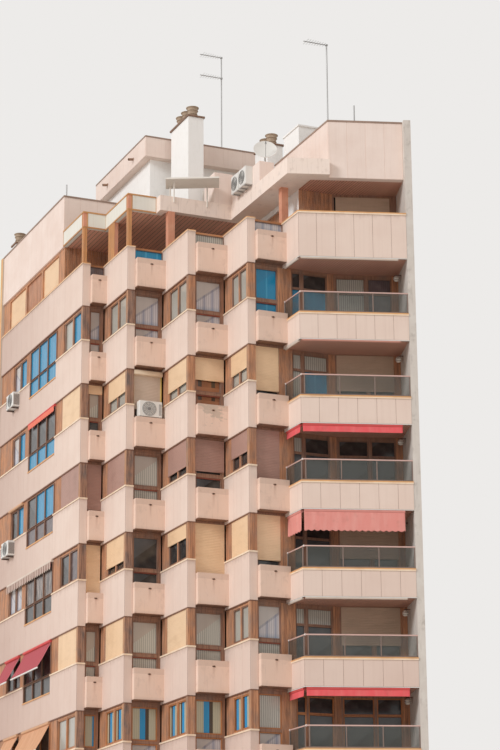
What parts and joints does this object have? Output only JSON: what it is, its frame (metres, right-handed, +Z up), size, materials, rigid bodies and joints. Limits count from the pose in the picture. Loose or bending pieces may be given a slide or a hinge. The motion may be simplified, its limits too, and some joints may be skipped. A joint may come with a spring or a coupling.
{
  "type": "apartment block",
  "caption": "Tall corner block of flats with a saw-toothed pink front, planters, shutters, balconies and a roof terrace.",
  "frame": {"origin": "on the ground under the middle of the plan", "axes": "+Z up, +X along the short tooth faces away from the left wing's wall, +Y back from the street along the long side walls"},
  "size_m": [13, 19.2461, 38.4],
  "materials": {
    "cladding": "matt panels of pale pink render",
    "coping": "pale cream coping",
    "dark_coping": "brown-grey coping",
    "planter_concrete": "weathered pink concrete",
    "beam_render": "stained render",
    "fascia_panel": "cream panels with a timber cap",
    "concrete": "bare concrete",
    "render": "plain render",
    "white_render": "white render",
    "ground_stone": "stone facing",
    "clay": "fired clay with dark rims",
    "timber": "varnished brown timber",
    "brown_boards": "dark stained boards",
    "window_glass": "clear glass that mirrors a blue sky",
    "tinted_glass": "smoked glass",
    "lamp_glass": "opal glass",
    "beige_slats": "beige roller slats",
    "mauve_slats": "mauve roller slats",
    "brown_slats": "brown roller slats",
    "rail_metal": "painted rail",
    "dark_metal": "dark painted metal",
    "white_metal": "white enamel",
    "grey_metal": "weathered aluminium",
    "canvas": "faded red canvas"
  },
  "bodies": {
    "root": {"floor_slabs": "concrete", "ground_floor_slab": "concrete", "left_party_wall": "render", "right_party_wall": "render", "rear_wall": "cladding", "rear_frames": "timber", "ground_walls": "ground_stone", "ground_step_walls": "ground_stone", "ground_front_wall": "ground_stone", "shop_windows": "window_glass", "entrance_doors": "dark_metal", "left_wing_bands": "cladding", "tooth_bands": "cladding", "band_caps": "coping", "planters": "planter_concrete", "planter_frames": "timber", "left_wing_frames": "timber", "side_frames": "timber", "window_glass": "window_glass", "corner_posts": "timber", "attic_shutters": "brown_slats", "beige_shutters": "beige_slats", "mauve_shutters": "mauve_slats", "balcony_side_parapets": "cladding", "balcony_front_parapets": "cladding", "balcony_front_caps": "coping", "balcony_rails": "rail_metal", "terrace_rails": "timber", "rail_glass": "tinted_glass", "balcony_left_windows": "timber", "balcony_back_windows": "timber", "balcony_ceilings": "brown_boards", "terrace_ceiling": "brown_boards", "balcony_lamps": "lamp_glass", "roof_slab": "concrete", "terrace_posts": "timber", "eaves_fascias": "fascia_panel", "cross_beam": "beam_render", "side_beam": "beam_render", "attic_walls": "white_render", "attic_doors": "timber", "attic_parapets": "cladding", "attic_copings": "dark_coping", "lift_house_walls": "white_render", "lift_house_door": "dark_metal", "lift_house_roof": "cladding", "chimney_stacks": "white_render", "chimney_pots": "clay", "service_boxes": "cladding", "coolers": "white_metal", "roof_panel": "grey_metal", "aerials": "grey_metal", "roof_dish": "white_metal", "awnings": "canvas"}
  },
  "joints": []
}
